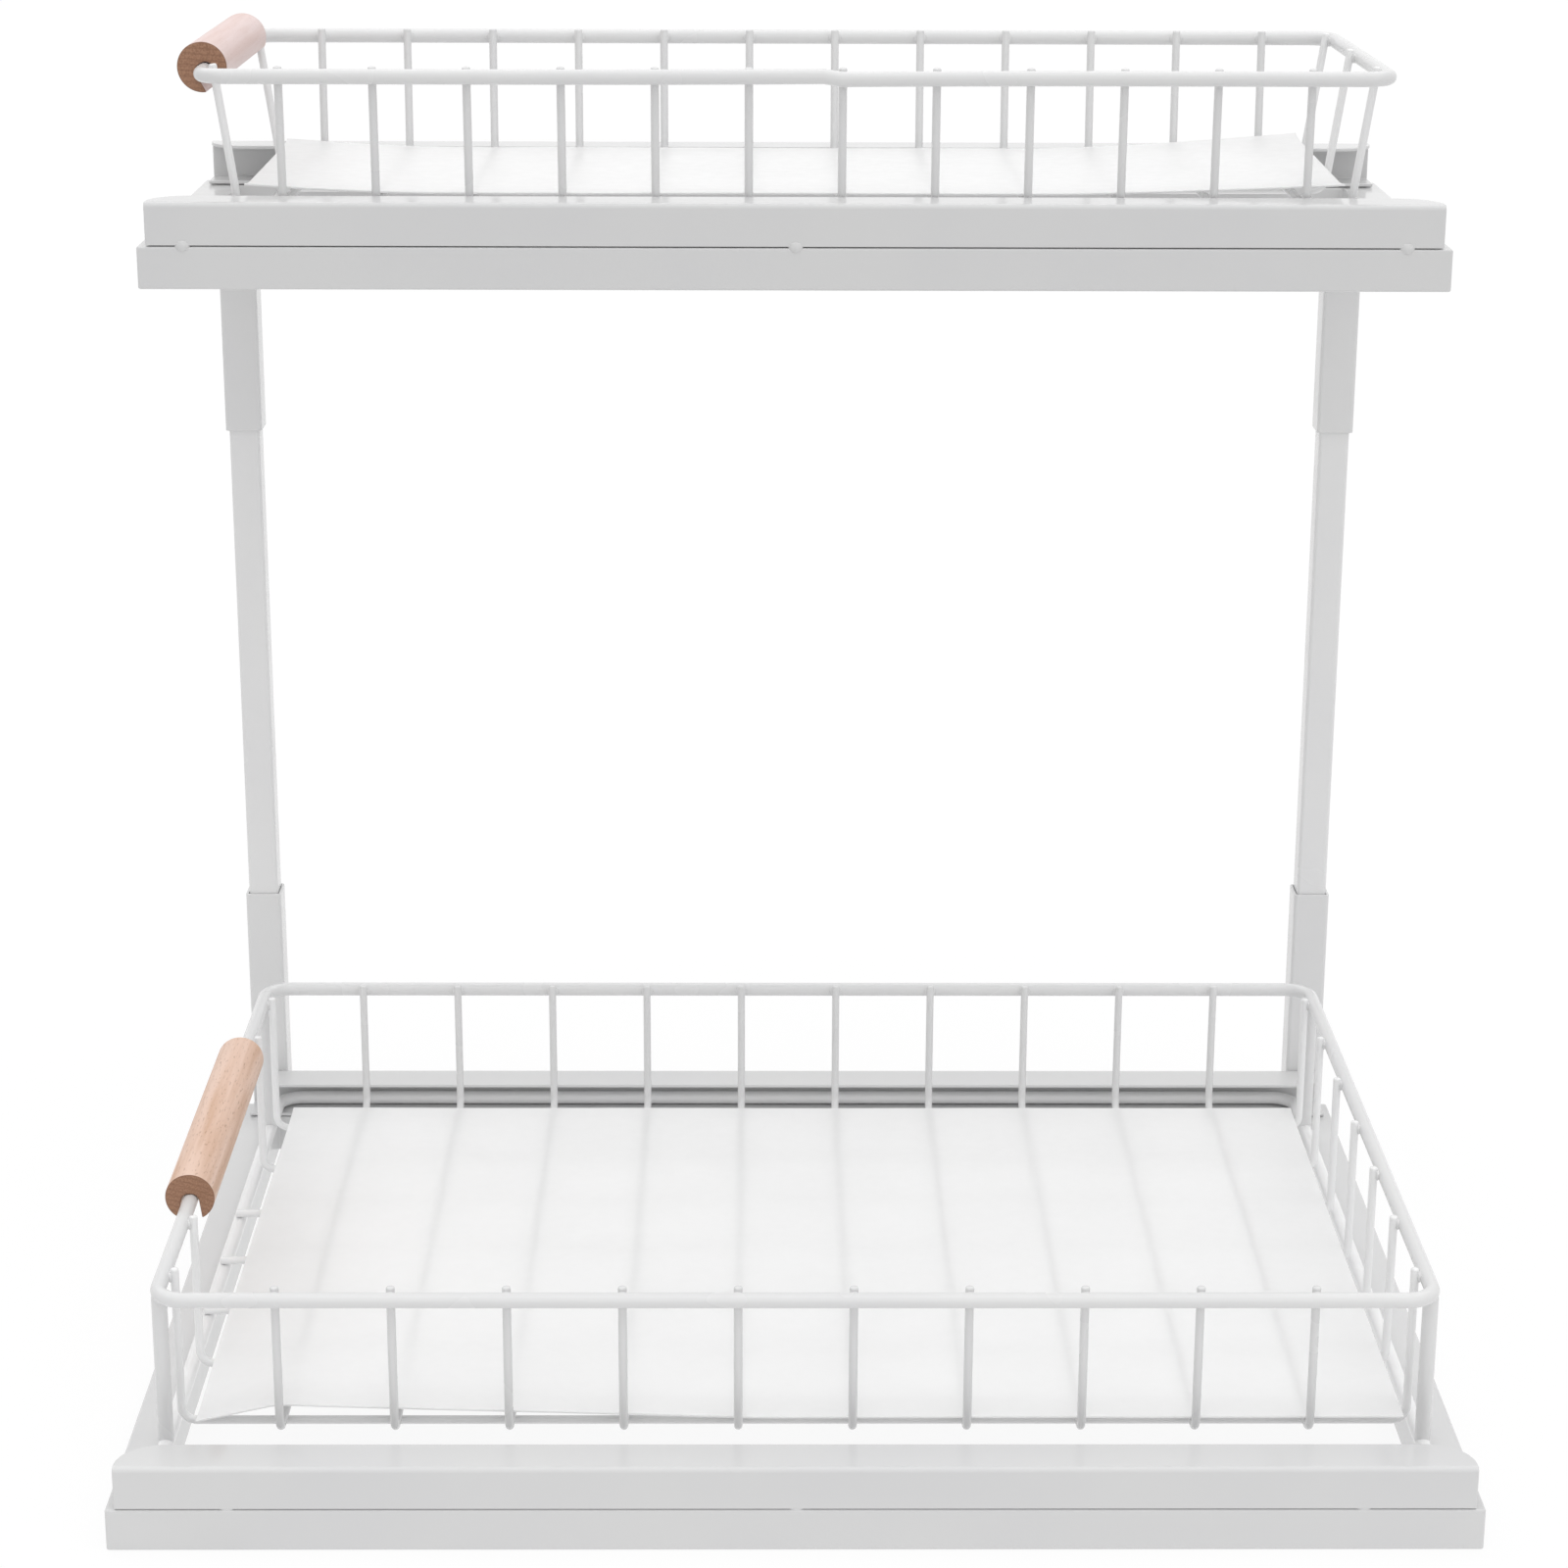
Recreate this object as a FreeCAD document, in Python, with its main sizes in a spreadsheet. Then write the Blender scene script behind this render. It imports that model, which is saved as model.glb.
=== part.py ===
import FreeCAD, Part
import math
import os

import Sketcher
from FreeCAD import Placement, Rotation, Vector

# Two-tier pull-out organizer of white coated steel, in millimetres.
# +Z is up, the open long side faces -Y and the baskets pull out towards -X.
# The origin is on the floor, in the middle of the whole outline.

# Driving sizes, kept as plain numbers in the sheet named Sizes.
SIZES = [
    # Frame
    ("frame_length", 430.0),
    ("lower_depth", 330.0),
    ("upper_depth", 158.0),
    ("tier_height", 366.0),
    ("tube_width", 14.0),
    ("tube_height", 14.0),
    ("tube_wall", 1.2),
    # Channel rails on the long tubes
    ("rail_height", 14.1),
    ("rail_flange", 16.0),
    ("rail_wall", 1.2),
    ("rail_edge_radius", 4.5),
    ("rail_corner_radius", 13.5),
    ("rail_end_inset", 3.0),
    # Weld beads that hold each rail just off its tube
    ("rail_gap", 0.35),
    ("weld_length", 6.0),
    ("weld_depth", 3.0),
    ("lower_weld_inset", 38.0),
    ("upper_weld_inset", 15.0),
    # Sleeves and the posts that plug into them
    ("sleeve_size", 13.6),
    ("sleeve_wall", 1.0),
    ("sleeve_inset", 3.0),
    ("sleeve_rise", 102.0),
    ("sleeve_drop", 80.0),
    ("post_wall", 1.0),
    ("post_clearance", 0.15),
    # Rods and wires of the baskets
    ("rod_diameter", 5.0),
    ("wire_diameter", 3.0),
    ("wire_bend_radius", 5.0),
    ("wire_tip", 0.4),
    ("rim_corner_radius", 9.0),
    ("runner_corner_radius", 9.0),
    ("runner_gap", 0.3),
    ("runner_side_gap", 0.6),
    ("short_wire_overhang", 1.0),
    # Lower basket
    ("lower_rim_end_inset", 14.0),
    ("lower_rim_inset", 27.0),
    ("lower_rim_height", 72.7),
    ("lower_runner_end_inset", 14.0),
    ("lower_end_flare", 0.0),
    ("lower_side_flare", 0.0),
    ("lower_first_wire_gap", 37.2),
    ("lower_long_wire_setback", 13.5),
    # Upper basket
    ("upper_rim_end_inset", 20.5),
    ("upper_rim_inset", 12.5),
    ("upper_rim_height", 67.5),
    ("upper_runner_end_inset", 37.0),
    ("upper_end_flare", 6.5),
    ("upper_side_flare", 2.0),
    ("upper_first_wire_gap", 25.6),
    ("upper_long_wire_setback", 5.0),
    # Wooden handles
    ("handle_diameter", 16.5),
    ("handle_offset", 1.4),
    ("handle_slot_gap", 0.15),
    ("handle_slot_taper", 1.5),
    ("lower_handle_end_gap", 17.7),
    ("upper_handle_end_gap", 5.5),
    # Liner mats
    ("mat_thickness", 0.8),
    ("mat_side_gap", 1.0),
    ("mat_end_gap", 2.5),
    ("mat_seat_gap", 0.05),
]

TIERS = ("lower", "upper")
LOWER_CROSS_WIRES = 10
UPPER_CROSS_WIRES = 12
LOWER_LONG_WIRES = 7
UPPER_LONG_WIRES = 3
LOWER_SHORT_WIRES = 3
UPPER_SHORT_WIRES = 1
CROSS_WIRE_COUNT = {"lower": LOWER_CROSS_WIRES, "upper": UPPER_CROSS_WIRES}
LONG_WIRE_COUNT = {"lower": LOWER_LONG_WIRES, "upper": UPPER_LONG_WIRES}
SHORT_WIRE_COUNT = {"lower": LOWER_SHORT_WIRES, "upper": UPPER_SHORT_WIRES}

# Degrees by which each handle is turned on its rod, from a slot that faces straight down.
HANDLE_TURN = {"lower": 0, "upper": 36}

# Rods and wires are swept with flat-sided sections, as wide across the flats as the round stock,
# and each of their bends is a few short chords of its arc.
ROD_SIDES = 12
WIRE_SIDES = 8
BEND_CHORDS = 4

# Places worked out from the driving sizes, kept as formulas in the sheet named Places.
# Heights of a tier are measured from the underside of its own base frame.
PLACES = [
    ("front_y", "-(Sizes.lower_depth + Sizes.sleeve_size) / 2"),
    ("back_y", "front_y + Sizes.lower_depth"),
    ("lower_center_y", "back_y - Sizes.lower_depth / 2"),
    ("upper_center_y", "back_y - Sizes.upper_depth / 2"),
    ("lower_base_z", "0 * Sizes.tier_height"),
    ("upper_base_z", "Sizes.tier_height"),
    ("frame_half_length", "Sizes.frame_length / 2"),
    ("inner_half_length", "frame_half_length - Sizes.tube_width"),
    ("tube_inner_width", "Sizes.tube_width - Sizes.tube_wall"),
    ("tube_inner_height", "Sizes.tube_height - Sizes.tube_wall"),
    ("rail_length", "Sizes.frame_length - 2 * Sizes.rail_end_inset"),
    ("rail_inner_height", "Sizes.rail_height - Sizes.rail_wall"),
    ("rail_inner_radius", "Sizes.rail_edge_radius - Sizes.rail_wall"),
    ("sleeve_half", "Sizes.sleeve_size / 2"),
    ("sleeve_bore_half", "sleeve_half - Sizes.sleeve_wall"),
    ("sleeve_x", "frame_half_length - Sizes.sleeve_inset - sleeve_half"),
    ("sleeve_y", "back_y + sleeve_half"),
    ("upper_sleeve_top", "Sizes.tier_height + Sizes.tube_height"),
    ("upper_sleeve_length", "Sizes.sleeve_drop + Sizes.tube_height"),
    ("post_half", "sleeve_bore_half - Sizes.post_clearance"),
    ("post_bore_half", "post_half - Sizes.post_wall"),
    ("post_length", "upper_sleeve_top - 2 * Sizes.sleeve_wall"),
    ("rod_radius", "Sizes.rod_diameter / 2"),
    ("wire_radius", "Sizes.wire_diameter / 2"),
    ("rod_corner_radius", f"rod_radius / cos(180deg / {ROD_SIDES})"),
    ("wire_corner_radius", f"wire_radius / cos(180deg / {WIRE_SIDES})"),
    ("weld_offset", "rod_radius + wire_radius"),
    ("rail_base_z", "Sizes.tube_height + Sizes.rail_gap"),
    ("runner_z", "rail_base_z + Sizes.rail_wall + Sizes.runner_gap + rod_radius"),
    ("long_wire_z", "runner_z + weld_offset"),
    ("cross_wire_z", "long_wire_z + Sizes.wire_diameter"),
    ("mat_z", "cross_wire_z + wire_radius + Sizes.mat_seat_gap"),
    ("handle_radius", "Sizes.handle_diameter / 2"),
    ("slot_half", "rod_radius + Sizes.handle_slot_gap"),
    ("slot_radius", "0.98 * slot_half"),
    ("slot_mouth_half", "slot_half + Sizes.handle_slot_taper"),
]
for tier in TIERS:
    full_wires = LONG_WIRE_COUNT[tier] - SHORT_WIRE_COUNT[tier]
    handle_wire_share = 1.0 - (full_wires - 2) / (LONG_WIRE_COUNT[tier] - 1)
    PLACES += [
        (f"{tier}_half_depth", f"Sizes.{tier}_depth / 2"),
        (f"{tier}_inner_half_depth", f"{tier}_half_depth - Sizes.tube_width"),
        (f"{tier}_weld_x", f"frame_half_length - Sizes.{tier}_weld_inset"),
        (f"{tier}_rim_half_length", f"frame_half_length - Sizes.{tier}_rim_end_inset"),
        (f"{tier}_rim_half_depth", f"{tier}_half_depth - Sizes.{tier}_rim_inset"),
        (f"{tier}_rim_z", f"{tier}_base_z + Sizes.{tier}_rim_height"),
        (f"{tier}_runner_half_length", f"frame_half_length - Sizes.{tier}_runner_end_inset"),
        (f"{tier}_runner_half_depth",
         f"{tier}_half_depth - Sizes.rail_wall - Sizes.runner_side_gap - rod_radius"),
        (f"{tier}_runner_base_z", f"{tier}_base_z + runner_z"),
        (f"{tier}_tip_z", f"Sizes.{tier}_rim_height + rod_radius + Sizes.wire_tip"),
        # Cross wires lean out by the side flare between the bottom and the rim.
        (f"{tier}_cross_foot", f"{tier}_rim_half_depth - weld_offset - Sizes.{tier}_side_flare"),
        (f"{tier}_cross_tip", f"{tier}_cross_foot + Sizes.{tier}_side_flare"
                              f" * ({tier}_tip_z - cross_wire_z)"
                              f" / (Sizes.{tier}_rim_height - cross_wire_z)"),
        (f"{tier}_cross_pitch", f"2 * ({tier}_rim_half_length - Sizes.{tier}_first_wire_gap)"
                                f" / {CROSS_WIRE_COUNT[tier] - 1}"),
        # Long wires lean out by the end flare in the same way.
        (f"{tier}_long_foot", f"{tier}_rim_half_length - weld_offset - Sizes.{tier}_end_flare"),
        (f"{tier}_long_tip", f"{tier}_long_foot + Sizes.{tier}_end_flare"
                             f" * ({tier}_tip_z - long_wire_z)"
                             f" / (Sizes.{tier}_rim_height - long_wire_z)"),
        (f"{tier}_long_first", f"{tier}_cross_foot - Sizes.{tier}_long_wire_setback"),
        (f"{tier}_long_pitch", f"2 * {tier}_long_first / {LONG_WIRE_COUNT[tier] - 1}"),
        (f"{tier}_short_end", f"{tier}_runner_half_length + Sizes.short_wire_overhang"),
        (f"{tier}_mat_half_length", f"{tier}_long_foot - wire_radius - Sizes.mat_end_gap"),
        (f"{tier}_mat_half_depth", f"{tier}_cross_foot - Sizes.wire_bend_radius - Sizes.mat_side_gap"),
        (f"{tier}_handle_length", f"2 * ({handle_wire_share} * {tier}_long_first"
                                  f" - Sizes.{tier}_handle_end_gap)"),
        (f"{tier}_corner_post_y", f"{tier}_rim_half_depth - Sizes.rim_corner_radius"),
    ]

doc = FreeCAD.newDocument("UnderSinkOrganizer")
parts = []


def fill_sheet(name, rows, lead=""):
    """Write one alias and its content per row of a new sheet."""
    new_sheet = doc.addObject("Spreadsheet::Sheet", name)
    for row, (alias, content) in enumerate(rows, start=1):
        new_sheet.set(f"A{row}", alias)
        new_sheet.set(f"B{row}", f"{lead}{content}")
        new_sheet.setAlias(f"B{row}", alias)
    doc.recompute()
    return new_sheet


sizes = fill_sheet("Sizes", SIZES)
places = fill_sheet("Places", PLACES, lead="=")
SHEETS = {"Sizes": sizes, "Places": places}


def number(term):
    """The value of a term such as Places.rim_z, -Places.rim_z or 0."""
    if term == "0":
        return 0.0
    sheet_name, alias = term.lstrip("-").split(".")
    value = float(getattr(SHEETS[sheet_name], alias))
    return -value if term.startswith("-") else value


def place(item, x="0", y="0", z="0", rotation=None):
    """Turn an object, then bind its position to the sheets."""
    if rotation is not None:
        item.Placement = Placement(Vector(), rotation)
    for axis, term in (("x", x), ("y", y), ("z", z)):
        if term != "0":
            item.setExpression(f"Placement.Base.{axis}", term)


def new_body(label):
    body = doc.addObject("PartDesign::Body", label)
    body.Label = label
    parts.append(body)
    return body


def new_group(label, pieces):
    group = doc.addObject("Part::Compound", label)
    group.Label = label
    group.Links = pieces
    parts.append(group)


def origin_plane(body, role):
    return next(plane for plane in body.Origin.OriginFeatures if plane.Role == role)


def new_sketch(body, name, role, offset="0"):
    """A sketch on one of the body's own origin planes, moved along its normal by the offset."""
    sketch = body.newObject("Sketcher::SketchObject", name)
    sketch.AttachmentSupport = [(origin_plane(body, role), "")]
    sketch.MapMode = "FlatFace"
    if offset != "0":
        sketch.setExpression("AttachmentOffset.Base.z", offset)
    return sketch


def bind_point(sketch, geometry, point, x, y):
    """Hold a point of the sketch at two terms, or on an axis where a term is 0."""
    for kind, axis, term in (("DistanceX", -2, x), ("DistanceY", -1, y)):
        if term == "0":
            sketch.addConstraint(Sketcher.Constraint("PointOnObject", geometry, point, axis))
            continue
        index = sketch.addConstraint(
            Sketcher.Constraint(kind, -1, 1, geometry, point, number(term)))
        bind_constraint(sketch, index, term)


def bind_constraint(sketch, index, term):
    name = f"size_{index}"
    sketch.renameConstraint(index, name)
    sketch.setExpression(f"Constraints.{name}", term)


def draw_outline(sketch, corners, closed, chords=0):
    """Draw straight runs through the corners, (x, y) or (x, y, radius) with a tangent arc there.

    Given a number of chords, that many equal ones take the place of each arc.
    """
    count = len(corners)
    points = [Vector(number(corner[0]), number(corner[1]), 0) for corner in corners]
    entry = list(points)
    leave = list(points)
    arcs = {}
    turns_left = {}
    for i, corner in enumerate(corners):
        if len(corner) == 2:
            continue
        radius = number(corner[2])
        back = (points[i - 1] - points[i]).normalize()
        ahead = (points[(i + 1) % count] - points[i]).normalize()
        half_angle = back.getAngle(ahead) / 2
        entry[i] = points[i] + back * (radius / math.tan(half_angle))
        leave[i] = points[i] + ahead * (radius / math.tan(half_angle))
        center = points[i] + (back + ahead).normalize() * (radius / math.sin(half_angle))
        turns_left[i] = ahead.cross(back).z > 0
        first, last = (entry[i], leave[i]) if turns_left[i] else (leave[i], entry[i])
        arcs[i] = sketch.addGeometry(new_arc(center, radius, first, last), chords > 0)
    runs = {}
    for i in range(count if closed else count - 1):
        runs[i] = sketch.addGeometry(Part.LineSegment(leave[i], entry[(i + 1) % count]), False)
    for i, corner in enumerate(corners):
        run_in = runs.get((i - 1) % count if closed else i - 1)
        run_out = runs.get(i)
        if i in arcs:
            round_corner(sketch, corner, points[i], arcs[i], turns_left[i], run_in, run_out)
            if chords:
                draw_chords(sketch, arcs[i], chords)
            continue
        if run_in is not None and run_out is not None:
            sketch.addConstraint(Sketcher.Constraint("Coincident", run_in, 2, run_out, 1))
        if run_out is not None:
            bind_point(sketch, run_out, 1, corner[0], corner[1])
        else:
            bind_point(sketch, run_in, 2, corner[0], corner[1])


def new_arc(center, radius, first, last):
    """The arc that runs anticlockwise from the first point to the last."""
    start = math.atan2(first.y - center.y, first.x - center.x)
    stop = math.atan2(last.y - center.y, last.x - center.x)
    return Part.ArcOfCircle(Part.Circle(center, Vector(0, 0, 1), radius), start, stop)


def round_corner(sketch, corner, point, arc, turns_left, run_in, run_out):
    """Hold an arc tangent to its two runs, whose lines meet at the corner point."""
    arc_in, arc_out = (1, 2) if turns_left else (2, 1)
    sketch.addConstraint(Sketcher.Constraint("Tangent", run_in, 2, arc, arc_in))
    sketch.addConstraint(Sketcher.Constraint("Tangent", arc, arc_out, run_out, 1))
    bind_constraint(
        sketch,
        sketch.addConstraint(Sketcher.Constraint("Radius", arc, number(corner[2]))),
        corner[2])
    mark = sketch.addGeometry(Part.Point(point), True)
    sketch.addConstraint(Sketcher.Constraint("PointOnObject", mark, 1, run_in))
    sketch.addConstraint(Sketcher.Constraint("PointOnObject", mark, 1, run_out))
    bind_point(sketch, mark, 1, corner[0], corner[1])


def draw_chords(sketch, arc, count):
    """Divide an arc into equal chords, from its start point to its end point."""
    curve = sketch.Geometry[arc]
    step = (curve.LastParameter - curve.FirstParameter) / count
    stops = [curve.value(curve.FirstParameter + step * i) for i in range(count + 1)]
    chords = [sketch.addGeometry(Part.LineSegment(stops[i], stops[i + 1]), False) for i in range(count)]
    sketch.addConstraint(Sketcher.Constraint("Coincident", chords[0], 1, arc, 1))
    sketch.addConstraint(Sketcher.Constraint("Coincident", chords[-1], 2, arc, 2))
    for before, after in zip(chords, chords[1:]):
        sketch.addConstraint(Sketcher.Constraint("Coincident", before, 2, after, 1))
        sketch.addConstraint(Sketcher.Constraint("PointOnObject", after, 1, arc))
        sketch.addConstraint(Sketcher.Constraint("Equal", before, after))


def draw_circle(sketch, x, y, diameter):
    center = Vector(number(x), number(y), 0)
    circle = sketch.addGeometry(Part.Circle(center, Vector(0, 0, 1), number(diameter) / 2), False)
    bind_point(sketch, circle, 3, x, y)
    index = sketch.addConstraint(Sketcher.Constraint("Diameter", circle, number(diameter)))
    bind_constraint(sketch, index, diameter)


def draw_polygon(sketch, x, y, corner_radius, sides):
    """A regular polygon in a circle, with one side level."""
    center = Vector(number(x), number(y), 0)
    radius = number(corner_radius)
    angles = [math.pi * (2 * i - 1) / sides - math.pi / 2 for i in range(sides)]
    corners = [center + Vector(math.cos(angle), math.sin(angle), 0) * radius for angle in angles]
    edges = [sketch.addGeometry(Part.LineSegment(corners[i], corners[(i + 1) % sides]), False)
             for i in range(sides)]
    circle = sketch.addGeometry(Part.Circle(center, Vector(0, 0, 1), radius), True)
    for i, edge in enumerate(edges):
        sketch.addConstraint(Sketcher.Constraint("Coincident", edge, 2, edges[(i + 1) % sides], 1))
        sketch.addConstraint(Sketcher.Constraint("PointOnObject", edge, 1, circle))
    for edge in edges[1:]:
        sketch.addConstraint(Sketcher.Constraint("Equal", edges[0], edge))
    sketch.addConstraint(Sketcher.Constraint("Horizontal", edges[0]))
    bind_point(sketch, circle, 3, x, y)
    index = sketch.addConstraint(Sketcher.Constraint("Radius", circle, radius))
    bind_constraint(sketch, index, corner_radius)


def draw_square(sketch, half):
    corners = [("-" + half, "-" + half), (half, "-" + half), (half, half), ("-" + half, half)]
    draw_outline(sketch, corners, closed=True)


def pad(body, sketch, length, midplane=False):
    feature = body.newObject("PartDesign::Pad", "Pad")
    feature.Profile = sketch
    feature.Midplane = midplane
    feature.setExpression("Length", length)
    return feature


def pocket(body, sketch, depth=None, midplane=False, reversed_way=False):
    """Cut a sketch out of the body, to a depth or right through both ways."""
    feature = body.newObject("PartDesign::Pocket", "Pocket")
    feature.Profile = sketch
    feature.Midplane = midplane
    feature.Reversed = reversed_way
    if depth is None:
        feature.Type = "ThroughAll"
    else:
        feature.setExpression("Length", depth)
    return feature


def frame_tube(label, length, outer_half, inner_half, turn, x, y, z):
    """A square tube along X with its outer face at y = 0, mitred at both ends."""
    body = new_body(label)
    width, height, wall = "Sizes.tube_width", "Sizes.tube_height", "Sizes.tube_wall"
    inner_width, inner_height = "Places.tube_inner_width", "Places.tube_inner_height"
    section = new_sketch(body, "Section", "YZ_Plane")
    draw_outline(section, [("0", "0"), (width, "0"), (width, height), ("0", height)], closed=True)
    draw_outline(section, [(wall, wall), (inner_width, wall), (inner_width, inner_height),
                           (wall, inner_height)], closed=True)
    pad(body, section, length, midplane=True)
    for name, side in (("RightMitre", ""), ("LeftMitre", "-")):
        mitre = new_sketch(body, name, "XY_Plane")
        draw_outline(mitre, [(side + outer_half, "0"), (side + outer_half, width),
                             (side + inner_half, width)], closed=True)
        pocket(body, mitre, midplane=True)
    place(body, x, y, z, Rotation(Vector(0, 0, 1), turn))


def channel_rail(label, turn, y, z):
    """A channel along X, open towards +Y, with a rounded outer edge and rounded flange ends."""
    body = new_body(label)
    wall, height = "Sizes.rail_wall", "Sizes.rail_height"
    flange, foot = "Sizes.rail_flange", "Sizes.tube_width"
    inner_height = "Places.rail_inner_height"
    section = new_sketch(body, "Section", "YZ_Plane")
    draw_outline(section, [
        ("0", "0"), (foot, "0"), (foot, wall), (wall, wall),
        (wall, inner_height, "Places.rail_inner_radius"), (flange, inner_height),
        (flange, height), ("0", height, "Sizes.rail_edge_radius")], closed=True)
    channel = pad(body, section, "Places.rail_length", midplane=True)
    doc.recompute()
    corner_edges = [f"Edge{i}" for i, edge in enumerate(channel.Shape.Edges, start=1)
                    if all(abs(v.Y - number(flange)) < 1e-6 for v in edge.Vertexes)
                    and abs(edge.Vertexes[0].X - edge.Vertexes[-1].X) < 1e-6]
    rounded = body.newObject("PartDesign::Fillet", "FlangeCorners")
    rounded.Base = (channel, corner_edges)
    rounded.setExpression("Radius", "Sizes.rail_corner_radius")
    place(body, "0", y, z, Rotation(Vector(0, 0, 1), turn))


def sleeve(label, length, x, z, upside_down):
    """A square tube closed at one end, which a post plugs into."""
    body = new_body(label)
    outside = new_sketch(body, "Outside", "XY_Plane")
    draw_square(outside, "Places.sleeve_half")
    pad(body, outside, length)
    bore = new_sketch(body, "Bore", "XY_Plane", offset=length)
    draw_square(bore, "Places.sleeve_bore_half")
    pocket(body, bore, depth=f"{length} - Sizes.sleeve_wall")
    turn = Rotation(Vector(1, 0, 0), 180) if upside_down else None
    place(body, x, "Places.sleeve_y", z, turn)


def plug_post(label, x):
    """The thinner square tube that stands in the lower sleeve and carries the upper one."""
    body = new_body(label)
    section = new_sketch(body, "Section", "XY_Plane")
    draw_square(section, "Places.post_half")
    draw_square(section, "Places.post_bore_half")
    pad(body, section, "Places.post_length")
    place(body, x, "Places.sleeve_y", "Sizes.sleeve_wall")


def bend(body, path_role, path, section_role, section_center, corner_radius, sides, offset="0"):
    """Sweep a flat-sided section along a path sketch of straight runs and tangent arcs."""
    spine = new_sketch(body, "Path", path_role)
    draw_outline(spine, path, closed=False, chords=BEND_CHORDS)
    section = new_sketch(body, "Section", section_role, offset)
    draw_polygon(section, section_center[0], section_center[1], corner_radius, sides)
    doc.recompute()
    pipe = body.newObject("PartDesign::AdditivePipe", "Bend")
    pipe.Profile = section
    pipe.Spine = (spine, [f"Edge{i}" for i in range(1, len(spine.Shape.Edges) + 1)])
    pipe.Transition = "Right corner"
    return pipe


def mirror(body, feature, role):
    """The other half of a bent rod that is alike on both sides of a plane."""
    doc.recompute()
    mirrored = body.newObject("PartDesign::Mirrored", "OtherHalf")
    mirrored.Originals = [feature]
    mirrored.MirrorPlane = (origin_plane(body, role), [""])
    body.Tip = mirrored


def closed_ring(label, half_length, half_depth, radius, y, z):
    """A rod bent to a rectangle with rounded corners, lying flat."""
    body = new_body(label)
    path = [("0", "-" + half_depth), (half_length, "-" + half_depth, radius),
            (half_length, half_depth, radius), ("0", half_depth)]
    half = bend(body, "XY_Plane", path, "YZ_Plane", ("-" + half_depth, "0"),
                "Places.rod_corner_radius", ROD_SIDES)
    mirror(body, half, "YZ_Plane")
    place(body, "0", y, z)


def cross_wire(label, tier, x):
    """A wire from the front rim down, across the bottom and up to the back rim."""
    body = new_body(label)
    foot, tip = f"Places.{tier}_cross_foot", f"Places.{tier}_cross_tip"
    path = [("0", "Places.cross_wire_z"), (foot, "Places.cross_wire_z", "Sizes.wire_bend_radius"),
            (tip, f"Places.{tier}_tip_z")]
    half = bend(body, "YZ_Plane", path, "XZ_Plane", ("0", "Places.cross_wire_z"),
                "Places.wire_corner_radius", WIRE_SIDES)
    mirror(body, half, "XZ_Plane")
    place(body, x, f"Places.{tier}_center_y", f"Places.{tier}_base_z")


def long_wire_path(tier, start):
    foot, tip = f"Places.{tier}_long_foot", f"Places.{tier}_long_tip"
    return [(start, "Places.long_wire_z"), (foot, "Places.long_wire_z", "Sizes.wire_bend_radius"),
            (tip, f"Places.{tier}_tip_z")]


def long_wire(label, tier, y):
    """A wire from the left rim down, along the bottom and up to the right rim."""
    body = new_body(label)
    half = bend(body, "XZ_Plane", long_wire_path(tier, "0"), "YZ_Plane",
                ("0", "Places.long_wire_z"), "Places.wire_corner_radius", WIRE_SIDES)
    mirror(body, half, "YZ_Plane")
    place(body, "0", y, f"Places.{tier}_base_z")


def short_wire(label, tier, y):
    """A wire under the handle, which ends on the runner instead of rising to the left rim."""
    body = new_body(label)
    start = f"-Places.{tier}_short_end"
    bend(body, "XZ_Plane", long_wire_path(tier, start), "YZ_Plane",
         ("0", "Places.long_wire_z"), "Places.wire_corner_radius", WIRE_SIDES, offset=start)
    place(body, "0", y, f"Places.{tier}_base_z")


def corner_posts(label, tier):
    """Four rods that stand on the runner and carry the rim."""
    posts = []
    for side in ("-", ""):
        for face in ("-", ""):
            rod = doc.addObject("Part::Prism", "CornerPost")
            rod.Polygon = ROD_SIDES
            rod.setExpression("Circumradius", "Places.rod_corner_radius")
            rod.setExpression("Height", f"Sizes.{tier}_rim_height - Places.runner_z"
                                        f" - Sizes.rod_diameter")
            place(rod, f"{side}Places.{tier}_rim_half_length",
                  f"Places.{tier}_center_y + ({face}Places.{tier}_corner_post_y)",
                  f"Places.{tier}_runner_base_z + Places.rod_radius",
                  Rotation(Vector(0, 0, 1), 180 / ROD_SIDES))
            posts.append(rod)
    new_group(label, posts)


def liner_mat(label, tier):
    """A thin plastic sheet on the bottom wires."""
    body = new_body(label)
    half_length, half_depth = f"Places.{tier}_mat_half_length", f"Places.{tier}_mat_half_depth"
    outline = new_sketch(body, "Outline", "XY_Plane")
    draw_outline(outline, [("-" + half_length, "-" + half_depth), (half_length, "-" + half_depth),
                           (half_length, half_depth), ("-" + half_length, half_depth)], closed=True)
    pad(body, outline, "Sizes.mat_thickness")
    place(body, "0", f"Places.{tier}_center_y", f"Places.{tier}_base_z + Places.mat_z")


def wooden_handle(label, tier):
    """A dowel along the left rim, slotted from below so that it clips over the rod."""
    body = new_body(label)
    end = new_sketch(body, "End", "XZ_Plane")
    draw_circle(end, "0", "Sizes.handle_offset", "Sizes.handle_diameter")
    pad(body, end, f"Places.{tier}_handle_length", midplane=True)
    slot = new_sketch(body, "Slot", "XZ_Plane")
    half, mouth = "Places.slot_half", "Places.slot_mouth_half"
    bottom, radius = "-Places.handle_radius", "Places.slot_radius"
    draw_outline(slot, [("-" + mouth, bottom), (mouth, bottom), (half, half, radius),
                        ("-" + half, half, radius)], closed=True)
    pocket(body, slot, midplane=True)
    place(body, f"-Places.{tier}_rim_half_length", f"Places.{tier}_center_y",
          f"Places.{tier}_rim_z", Rotation(Vector(0, -1, 0), HANDLE_TURN[tier]))


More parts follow.
